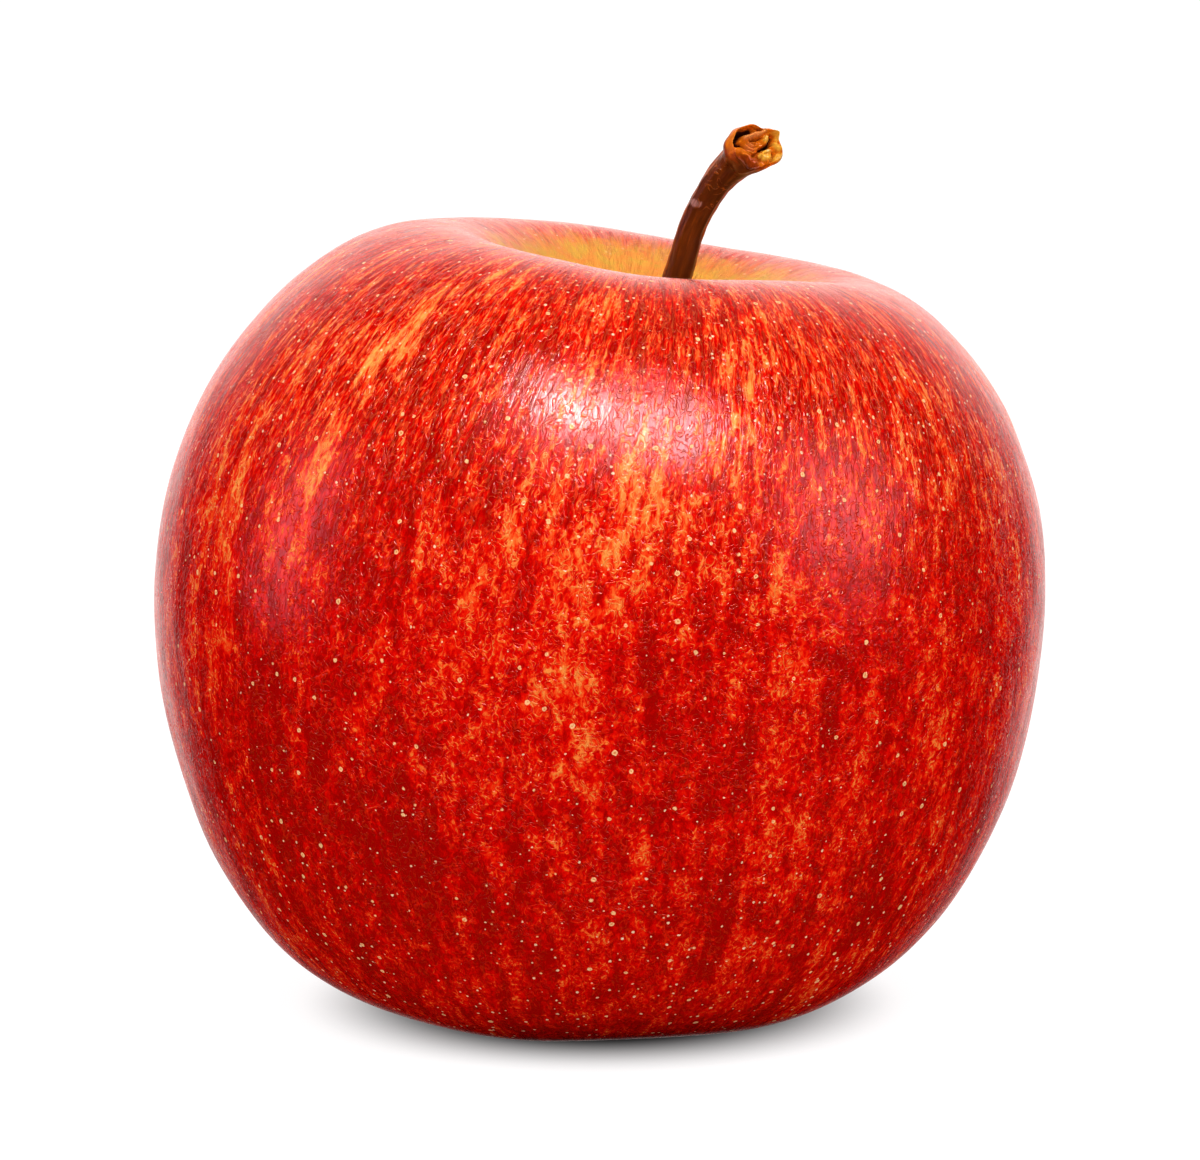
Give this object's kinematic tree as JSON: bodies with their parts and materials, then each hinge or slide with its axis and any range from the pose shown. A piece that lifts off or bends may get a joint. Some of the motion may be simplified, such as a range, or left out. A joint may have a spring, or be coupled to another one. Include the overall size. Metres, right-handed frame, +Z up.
{
  "type": "red apple",
  "caption": "Ripe red apple with its stem in the upper cavity and its dried calyx in the basin underneath, standing on the lobes of its base.",
  "frame": {"origin": "on the surface the apple stands on, under the middle of its bounding box", "axes": "+Z up through the fruit from calyx to stem, front towards -Y, the stem's tip towards +X"},
  "size_m": [0.0802, 0.0804, 0.0801],
  "materials": {
    "skin": "waxy red skin with darker and orange-yellow streaks",
    "stem": "dark brown, dried and slightly glossy",
    "calyx": "dried, dull brown"
  },
  "bodies": {
    "root": {"fruit": "skin", "stem": "stem", "sepal_1": "calyx", "sepal_2": "calyx", "sepal_3": "calyx", "sepal_4": "calyx", "sepal_5": "calyx", "stamens": "calyx"}
  },
  "joints": []
}
